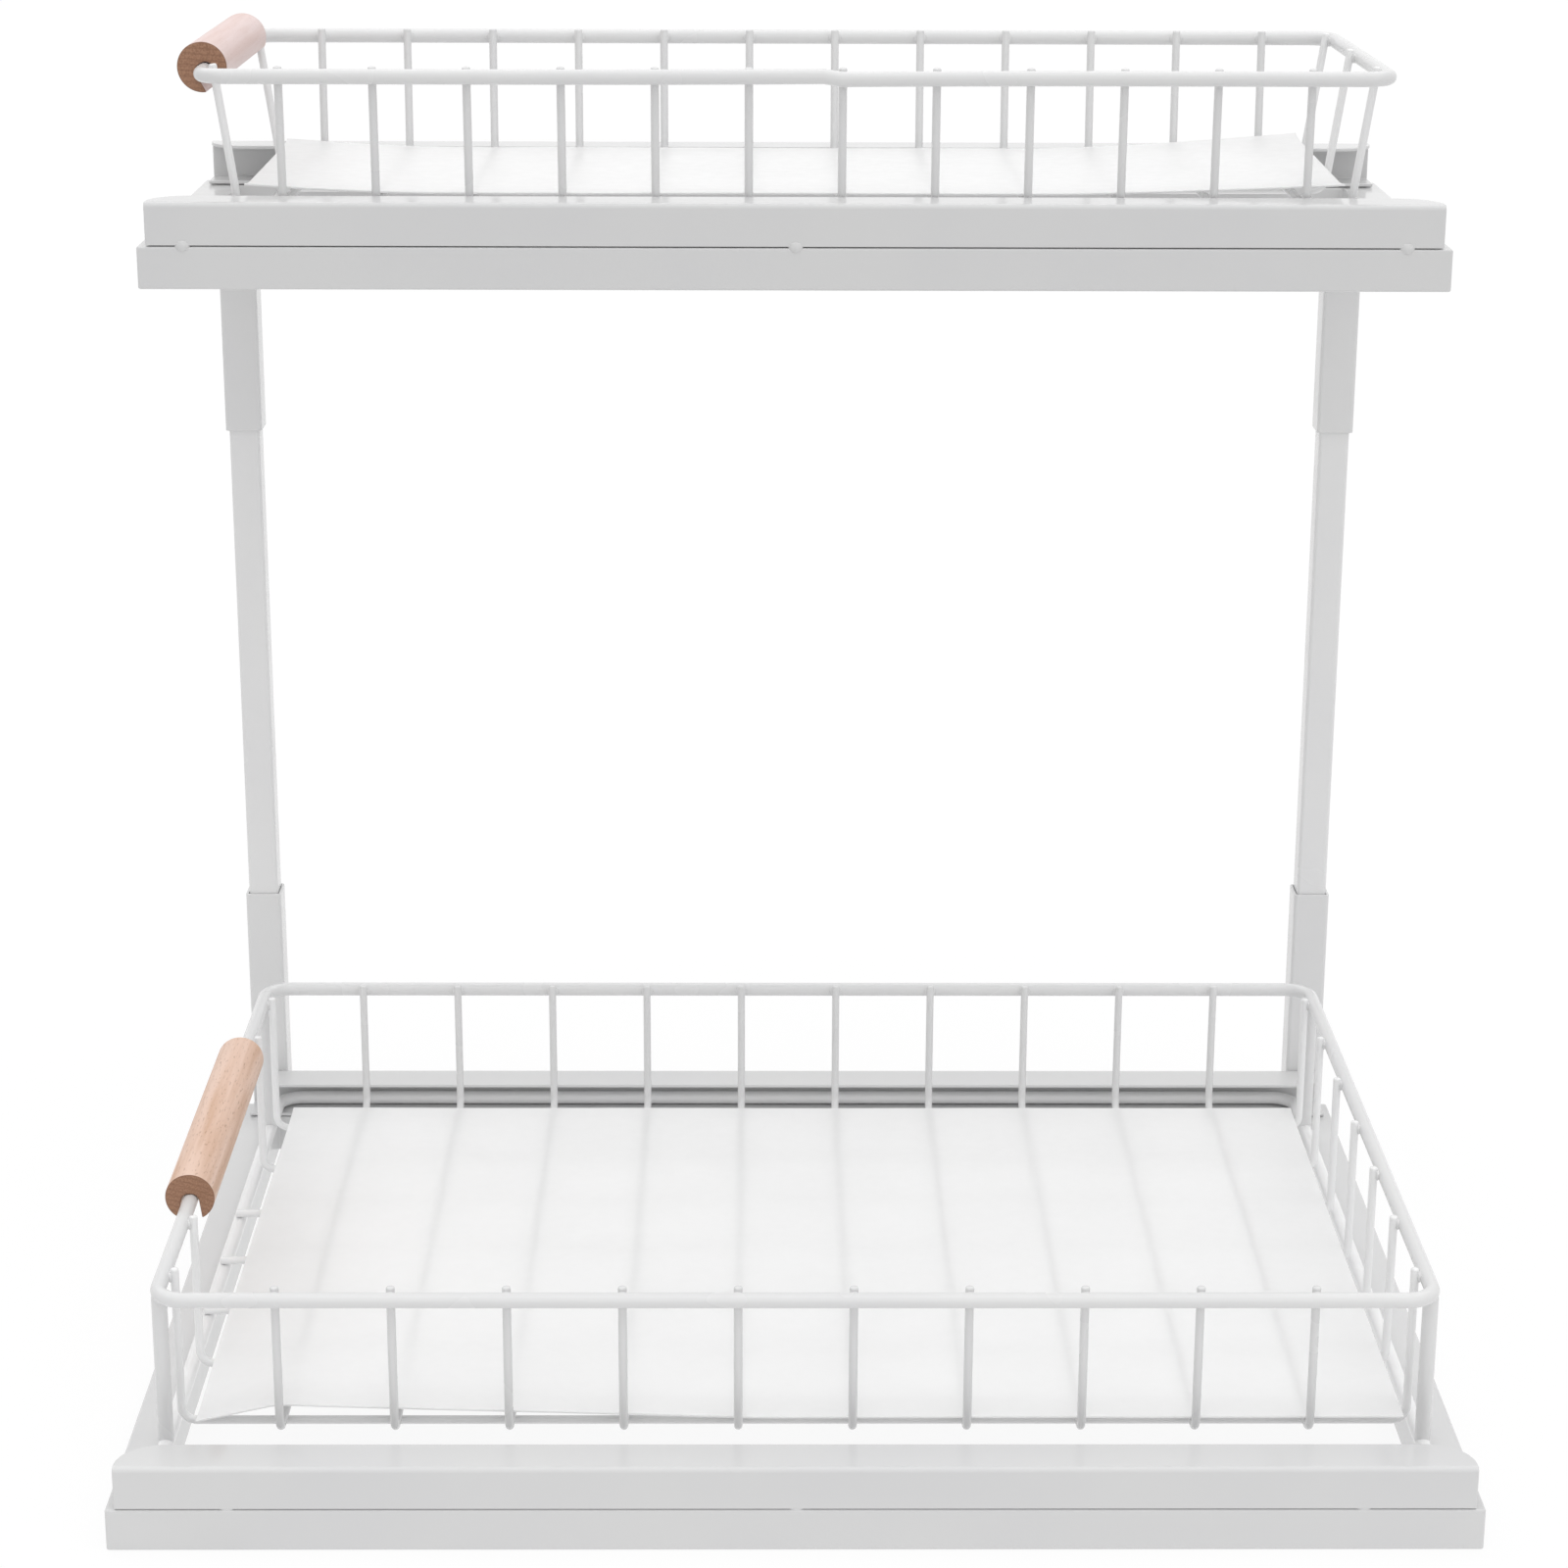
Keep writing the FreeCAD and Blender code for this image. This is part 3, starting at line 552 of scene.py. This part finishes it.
def square_base(tier, steel):
    """Four square tubes welded at their mitred corners into one ring."""
    names = [f"{tier}_{side}_tube" for side in ("front", "back", "left", "right")]
    low = Vector(map(min, *(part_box(name)[0] for name in names)))
    high = Vector(map(max, *(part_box(name)[1] for name in names)))
    half_tube = (high.z - low.z) / 2
    middle = (low + high) / 2
    half = (high - low) / 2
    loops = []
    for p in rounded_square(half_tube, half_tube, TUBE_EDGE):
        outline = rounded_square(half.x - half_tube + p.x, half.y - half_tube + p.x, TUBE_EDGE)
        loops.append([middle + q + UP * p.y for q in outline])
    skin = bridge(loops, closed_run=True)
    even_shading(new_piece(f"{tier}_base_ring", *skin, steel, "frame", "white_steel", names))


def square_sleeve(name, steel):
    """An upright square tube, open at both ends."""
    low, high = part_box(name)
    middle = (low + high) / 2
    half = (high - low) / 2
    rounding = ((0.0, SLEEVE_LIP), (0.3 * SLEEVE_LIP, 0.3 * SLEEVE_LIP), (SLEEVE_LIP, 0.0))
    top = [(inset, half.z - drop) for inset, drop in rounding]
    top += [(TUBE_WALL - inset, half.z - drop) for inset, drop in reversed(rounding)]
    loops = []
    for inset, z in top + [(inset, -z) for inset, z in reversed(top)]:
        outline = rounded_square(half.x - inset, half.y - inset, SLEEVE_EDGE - inset)
        loops.append([middle + q + UP * z for q in outline])
    skin = bridge(loops, closed_run=True)
    even_shading(new_piece(f"{name}_tube", *skin, steel, "frame", "white_steel", [name]))


def rail_section(foot, flange, height):
    """Across and up, round a channel's section: foot, web, and a flange over a bend."""
    bend = []
    for step in range(EDGE_STEPS + 1):
        turn = math.pi / 2 * (1 + step / EDGE_STEPS)
        across = RAIL_BEND * (1 + math.cos(turn))
        bend.append((across, height - RAIL_BEND * (1 - math.sin(turn))))
    under = height - RAIL_WALL
    inside = [(foot, RAIL_WALL), (RAIL_WALL, RAIL_WALL), (RAIL_WALL, under), (flange, under)]
    return [(0.0, 0.0), (foot, 0.0)] + inside + [(flange, height)] + bend


def channel_rail(tier, side, steel):
    """A channel of folded sheet, whose flange is rounded at its free corners."""
    name = f"{tier}_{side}_rail"
    low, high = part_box(name)
    tube_low, tube_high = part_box(f"{tier}_{side}_tube")
    foot = tube_high.y - tube_low.y
    face, inward = (low.y, 1) if side == "front" else (high.y, -1)
    half = (high.x - low.x) / 2
    ends = []
    for step in range(RAIL_CORNER_STEPS + 1):
        turn = math.pi / 2 * step / RAIL_CORNER_STEPS
        x = half - RAIL_CORNER * (1 - math.cos(turn))
        ends.append((x, RAIL_CORNER * (1 - math.sin(turn))))
    loops = []
    for x, cut in [(-x, cut) for x, cut in ends] + ends[::-1]:
        loop = []
        for across, up in rail_section(foot, high.y - low.y - cut, high.z - low.z):
            loop.append(Vector((inward * x, face + inward * across, low.z + up)))
        loops.append(loop)
    points, faces = bridge(loops)
    count = len(loops[0])
    faces.append(tuple(range(count))[::-1])
    faces.append(tuple(range(len(points) - count, len(points))))
    rail = new_piece(f"{name}_channel", points, faces, steel, "frame", "white_steel", [name])
    soften(rail, "sheet edge", RAIL_EDGE, 2)


def basket_sizes(tier):
    """Where a basket's rods and wires run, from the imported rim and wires."""
    low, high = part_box(f"{tier}_rim")
    rod = (high.z - low.z) / 2
    wire_low, wire_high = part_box(f"{tier}_cross_wire_01")
    long_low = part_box(f"{tier}_long_wire_1")[0]
    wire = (wire_high.x - wire_low.x) / 2 * math.cos(math.pi / PACKED_WIRE_SIDES)
    size = {
        "rod": rod,
        "wire": wire,
        "middle": (low + high) / 2,
        "half_length": (high.x - low.x) / 2 - rod,
        "half_depth": (high.y - low.y) / 2 - rod,
        "cross_z": wire_low.z + wire,
        "long_z": long_low.z + wire,
    }
    size["tip_z"] = size["middle"].z + rod + WIRE_TIP
    size["cross_foot"] = size["half_depth"] - rod - wire - SIDE_FLARE[tier]
    size["long_foot"] = size["half_length"] - rod - wire - END_FLARE[tier]
    return size


def leaning_tip(foot, flare, start_z, size):
    """How far out a wire's tip stands when it leans by the flare up to the rim."""
    return foot + flare * (size["tip_z"] - start_z) / (size["middle"].z - start_z)


def closed_rod(tier, part, steel, joint_shows=False):
    name = f"{tier}_{part}"
    low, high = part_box(name)
    rod = (high.z - low.z) / 2
    middle = (low + high) / 2
    half = (high - low) / 2 - Vector((rod, rod, 0))
    corners = [middle + Vector((sx * half.x, sy * half.y, 0)) for sx, sy in CORNERS]
    points = bent_line(corners, ROD_CORNER_BEND, closed=True)
    if joint_shows:
        front_run = BEND_STEPS + 1
        points[front_run:front_run] = stepped_joint(corners[0].y, middle.z)
    skin = rod_skin(points, rod, ROD_SIDES, closed=True)
    new_piece(f"{name}_rod", *skin, steel, f"{tier}_basket", "white_steel", [name])


def stepped_joint(y, z):
    """Points along the front run, up to the joint from above and on from below."""
    points = []
    for share in [-s for s in reversed(RIM_JOINT_SHARES)] + list(RIM_JOINT_SHARES):
        step = -math.copysign(RIM_JOINT_STEP, share) * (1 - abs(share)) ** 2
        points.append(Vector((RIM_JOINT + RIM_JOINT_REACH * share, y, z + step)))
    return points


def wire_piece(tier, name, corners, size, steel):
    skin = rod_skin(bent_line(corners, WIRE_BEND), size["wire"], WIRE_SIDES)
    new_piece(f"{name}_bent", *skin, steel, f"{tier}_basket", "white_steel", [name])


def cross_wires(tier, size, steel):
    tip = leaning_tip(size["cross_foot"], SIDE_FLARE[tier], size["cross_z"], size)
    middle_y = size["middle"].y
    for name in nodes_named(f"{tier}_cross_wire"):
        low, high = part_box(name)
        x = (low.x + high.x) / 2
        corners = [
            Vector((x, middle_y - tip, size["tip_z"])),
            Vector((x, middle_y - size["cross_foot"], size["cross_z"])),
            Vector((x, middle_y + size["cross_foot"], size["cross_z"])),
            Vector((x, middle_y + tip, size["tip_z"])),
        ]
        wire_piece(tier, name, corners, size, steel)


def long_wires(tier, size, steel):
    """Wires along the length; the short ones end on the runner instead of rising at the left."""
    tip = leaning_tip(size["long_foot"], END_FLARE[tier], size["long_z"], size)
    for name in nodes_named(f"{tier}_long_wire", f"{tier}_short_wire"):
        low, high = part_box(name)
        y = (low.y + high.y) / 2
        corners = [
            Vector((-tip, y, size["tip_z"])),
            Vector((-size["long_foot"], y, size["long_z"])),
            Vector((size["long_foot"], y, size["long_z"])),
            Vector((tip, y, size["tip_z"])),
        ]
        if "short" in name:
            corners[:2] = [Vector((low.x, y, size["long_z"]))]
        wire_piece(tier, name, corners, size, steel)


def corner_posts(tier, size, steel):
    """Thick upright rods between the runner and the rim, near the corners."""
    name = f"{tier}_corner_posts"
    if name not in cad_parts:
        return
    low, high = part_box(name)
    rod = size["rod"]
    posts = []
    for x in (low.x + rod, high.x - rod):
        for y in (low.y + rod, high.y - rod):
            line = [Vector((x, y, low.z - rod)), Vector((x, y, high.z + WIRE_TIP))]
            posts.append(rod_skin(line, rod, ROD_SIDES))
    skin = joined(posts)
    new_piece(f"{tier}_corner_rods", *skin, steel, f"{tier}_basket", "white_steel", [name])


def bead_skin(centre, size):
    """A smooth weld bead, longer than it is thick."""
    loops = []
    for ring in range(1, BEAD_STEPS):
        lean = math.pi * ring / BEAD_STEPS
        loop = []
        for k in range(BEAD_SIDES):
            turn = 2 * math.pi * k / BEAD_SIDES
            loop.append(centre + Vector((-math.cos(lean) * size.x,
                                         math.sin(lean) * math.cos(turn) * size.y,
                                         math.sin(lean) * math.sin(turn) * size.z)))
        loops.append(loop)
    half = Vector((size.x, 0, 0))
    return bridge(loops, tips=(centre - half, centre + half))


def beads_piece(name, beads, steel, body, replaced=()):
    skin = joined(bead_skin(centre, size) for centre, size in beads)
    new_piece(name, *skin, steel, body, "white_steel", replaced)


def seam_beads(steel):
    """Weld beads in the seams between the rails and the long tubes, three on each rail."""
    beads = []
    for tier in TIERS:
        for side, inward in (("front", 1), ("back", -1)):
            tube_low, tube_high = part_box(f"{tier}_{side}_tube")
            rail_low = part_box(f"{tier}_{side}_rail")[0]
            face = tube_low.y if side == "front" else tube_high.y
            seam = (tube_high.z + rail_low.z) / 2
            reach = tube_high.x - SEAM_BEAD_INSET[tier]
            proud = min(SEAM_BEAD_PROUD, face - cad_low.y, cad_high.y - face)
            sunk = inward * (SEAM_BEAD_SIZE.y - proud)
            for x in (-reach, 0.0, reach):
                beads.append((Vector((x, face + sunk, seam)), SEAM_BEAD_SIZE))
    beads_piece("rail_weld_beads", beads, steel, "frame", ["rail_welds"])


def rim_beads(tier, size, steel):
    """Weld beads where the wires meet the rim on its inner side."""
    beads = []
    middle = size["middle"]
    side_reach = size["half_depth"] - size["rod"]
    for name in nodes_named(f"{tier}_cross_wire"):
        low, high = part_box(name)
        x = (low.x + high.x) / 2
        for y in (middle.y - side_reach, middle.y + side_reach):
            beads.append((Vector((x, y, middle.z)), RIM_BEAD_SIZE))
    end_reach = size["half_length"] - size["rod"]
    along_y = Vector((RIM_BEAD_SIZE.y, RIM_BEAD_SIZE.x, RIM_BEAD_SIZE.z))
    for name in nodes_named(f"{tier}_long_wire", f"{tier}_short_wire"):
        low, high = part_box(name)
        y = (low.y + high.y) / 2
        for x in (-end_reach, end_reach) if "long" in name else (end_reach,):
            beads.append((Vector((x, y, middle.z)), along_y))
    beads_piece(f"{tier}_rim_welds", beads, steel, f"{tier}_basket")


def rise(value, start, end):
    """0 before start, 1 after end, and smooth between them."""
    share = min(max((value - start) / (end - start), 0.0), 1.0)
    return share * share * (3 - 2 * share)


def mat_wave(x, y):
    """Slight waves that a sheet keeps from having been rolled up."""
    return MAT_WAVE * (1 + math.sin(31 * x + 1.3) * math.cos(23 * y + 17 * x))


def edge_rise(tier, y, low, high):
    """The front and back edges ride up on the bends of the cross wires."""
    near = max(low.y + MAT_EDGE_REACH - y, y - high.y + MAT_EDGE_REACH, 0.0) / MAT_EDGE_REACH
    return MAT_EDGE_RISE[tier] * near * near


def lower_mat_lift(low, high):
    """The front edge buckles up over the first cross wire, and its corner hangs down."""
    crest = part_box("lower_cross_wire_01")[0].x
    end = LOWER_MAT_BUCKLE_END

    def lift(x, y):
        front = rise(low.y + LOWER_MAT_BUCKLE_REACH - y, 0.0, LOWER_MAT_BUCKLE_REACH)
        if x < crest:
            share = (x - low.x) / (crest - low.x)
            buckle = LOWER_MAT_BUCKLE * share - LOWER_MAT_DROOP * (1 - share)
        else:
            buckle = LOWER_MAT_BUCKLE * max(0.0, (end - x) / (end - crest))
        return mat_wave(x, y) + edge_rise("lower", y, low, high) + buckle * front
    return lift


def upper_mat_lift(low, high):
    """Both ends curl up, the right end more and most at its back corner."""
    def lift(x, y):
        back = (y - low.y) / (high.y - low.y)
        left = max(0.0, 1 - (x - low.x) / UPPER_MAT_LEFT_REACH) ** UPPER_MAT_LEFT_POWER
        right = max(0.0, 1 - (high.x - x) / UPPER_MAT_RIGHT_REACH) ** UPPER_MAT_RIGHT_POWER
        curled = UPPER_MAT_LEFT_CURL * left
        curled += (UPPER_MAT_RIGHT_CURL + UPPER_MAT_CORNER_CURL * back) * right
        return mat_wave(x, y) + edge_rise("upper", y, low, high) + curled
    return lift


def liner_mat(tier, lift_for, film):
    """A thin plastic sheet laid on the basket's wires."""
    name = f"{tier}_mat"
    low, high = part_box(name)
    low = low - MAT_REACH[tier] + MAT_SLIDE[tier]
    high = high + MAT_REACH[tier] + MAT_SLIDE[tier]
    lift = lift_for(low, high)
    across = round((high.x - low.x) / MAT_SPACING)
    deep = round((high.y - low.y) / MAT_SPACING)
    points, faces = [], []
    for z in (low.z, high.z):
        for j in range(deep + 1):
            for i in range(across + 1):
                x = low.x + (high.x - low.x) * i / across
                y = low.y + (high.y - low.y) * j / deep
                points.append(Vector((x, y, z + lift(x, y))))
    row = across + 1
    sheet = row * (deep + 1)
    for j in range(deep):
        for i in range(across):
            a = j * row + i
            faces.append((a, a + row, a + row + 1, a + 1))
            faces.append((sheet + a, sheet + a + 1, sheet + a + row + 1, sheet + a + row))
    rim = list(range(across))
    rim += [j * row + across for j in range(deep)]
    rim += [deep * row + i for i in range(across, 0, -1)]
    rim += [j * row for j in range(deep, 0, -1)]
    for a, b in zip(rim, rim[1:] + rim[:1]):
        faces.append((a, b, sheet + b, sheet + a))
    basket = f"{tier}_basket"
    piece = new_piece(f"{tier}_liner", points, faces, film, basket, "liner_plastic", [name])
    soften(piece, "cut edge", MAT_EDGE, 2)


def finish_handle(name, wood):
    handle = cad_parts[name]
    handle.data.materials.clear()
    handle.data.materials.append(wood)
    closed = handle.modifiers.new("joined", "WELD")
    closed.merge_threshold = SAME_PLACE
    soften(handle, "softened", HANDLE_EDGE, 3)


def place_camera():
    pitch, yaw, roll = (math.radians(a) for a in (CAMERA_PITCH, CAMERA_YAW, CAMERA_ROLL))
    flat = math.cos(pitch)
    ahead = Vector((math.sin(yaw) * flat, math.cos(yaw) * flat, -math.sin(pitch)))
    level = ahead.cross(UP).normalized()
    above = level.cross(ahead)
    right = level * math.cos(roll) + above * math.sin(roll)
    top = above * math.cos(roll) - level * math.sin(roll)
    data = bpy.data.cameras.new("camera")
    data.sensor_width = SENSOR_WIDTH
    data.lens = CAMERA_FOCAL / PICTURE_WIDTH * SENSOR_WIDTH
    data.clip_end = FARTHEST_SEEN
    camera = bpy.data.objects.new("camera", data)
    front = Vector((0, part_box("lower_front_tube")[0].y, 0))
    turned = Matrix((right, top, -ahead)).transposed().to_4x4()
    camera.matrix_world = Matrix.Translation(front + CAMERA_PLACE) @ turned
    bpy.context.scene.collection.objects.link(camera)
    bpy.context.scene.camera = camera


def lay_floor():
    corners = [(sx * FLOOR_HALF, sy * FLOOR_HALF, 0) for sx, sy in CORNERS]
    mesh = bpy.data.meshes.new("floor")
    mesh.from_pydata(corners, [], [(0, 1, 2, 3)])
    mesh.materials.append(pale_floor("pale floor"))
    floor = bpy.data.objects.new("floor", mesh)
    floor.location.z = cad_low.z - FLOOR_DROP
    bpy.context.scene.collection.objects.link(floor)


def soft_lamp(name, strength, lean, turn):
    """A broad soft lamp; lean is from straight above, turn is round the object."""
    data = bpy.data.lights.new(name, "SUN")
    data.energy = strength
    data.angle = math.radians(LAMP_SPREAD)
    lamp = bpy.data.objects.new(name, data)
    lamp.rotation_euler = (math.radians(lean), 0, math.radians(turn))
    bpy.context.scene.collection.objects.link(lamp)


def light_the_room():
    world = bpy.data.worlds.new("white room")
    bpy.context.scene.world = world
    world.use_nodes = True
    tree = world.node_tree
    room = tree.nodes["Background"]
    room.inputs["Color"].default_value = (1, 1, 1, 1)
    room.inputs["Strength"].default_value = ROOM_LIGHT
    backdrop = node(tree, "ShaderNodeBackground")
    backdrop.inputs["Color"].default_value = (1, 1, 1, 1)
    backdrop.inputs["Strength"].default_value = 1.0
    mixed = node(tree, "ShaderNodeMixShader")
    tree.links.new(seen_directly(tree), mixed.inputs["Fac"])
    tree.links.new(room.outputs["Background"], mixed.inputs[1])
    tree.links.new(backdrop.outputs["Background"], mixed.inputs[2])
    tree.links.new(mixed.outputs["Shader"], tree.nodes["World Output"].inputs["Surface"])
    soft_lamp("overhead lamp", *OVERHEAD_LAMP)
    soft_lamp("front lamp", *FRONT_LAMP)


place_camera()
lay_floor()
light_the_room()
bpy.context.scene.view_settings.view_transform = "Standard"

coat = coat_group()
grain = beech_group()
tube_steel = coated_steel("white tube steel", coat, TUBE_PEEL, white=0.66, gloss=0.11, haze=0.22)
# The sleeves take a lighter copy of the tube coat: painted light for how brightly they are lit.
sleeve_steel = coated_steel("white sleeve steel", coat, TUBE_PEEL, white=0.715, gloss=0.14, haze=0.26)
# The posts take a still lighter copy of the tube coat: painted light for how brightly they are lit.
post_steel = coated_steel("white post steel", coat, TUBE_PEEL, white=0.77, gloss=0.16, haze=0.28)
wire_steel = coated_steel("white wire steel", coat, ROD_PEEL, white=0.725, gloss=0.18, haze=0.3)
# The runners and long wires lie low, in shade; this whiter copy of the wire coat is painted light on
# them.
painted_light_steel = coated_steel("white steel lightened for painted light", coat, ROD_PEEL, white=0.85, gloss=0.14, haze=0.26)
film = liner_film("milky liner film")
woods = {
    "lower": beech("beech", grain, (0.77, 0.55, 0.44, 1), (0.61, 0.385, 0.265, 1), fleck=0.6),
    "upper": beech("pale beech", grain, (0.76, 0.61, 0.59, 1), (0.69, 0.525, 0.49, 1), fleck=0.15),
}
mat_lifts = {"lower": lower_mat_lift, "upper": upper_mat_lift}

for tier in TIERS:
    square_base(tier, tube_steel)
    for side in ("front", "back"):
        channel_rail(tier, side, tube_steel)
    for side in ("left", "right"):
        square_sleeve(f"{tier}_{side}_sleeve", sleeve_steel)
    size = basket_sizes(tier)
    closed_rod(tier, "rim", wire_steel, joint_shows=tier == "upper")
    # The runner takes the whiter copy of the coat: painted light.
    closed_rod(tier, "runner", painted_light_steel)
    cross_wires(tier, size, wire_steel)
    # The long and short wires take the whiter copy of the coat: painted light.
    long_wires(tier, size, painted_light_steel)
    corner_posts(tier, size, wire_steel)
    rim_beads(tier, size, wire_steel)
    liner_mat(tier, mat_lifts[tier], film)
    finish_handle(f"{tier}_handle", woods[tier])
seam_beads(tube_steel)
for side in ("left", "right"):
    square_sleeve(f"{side}_post", post_steel)
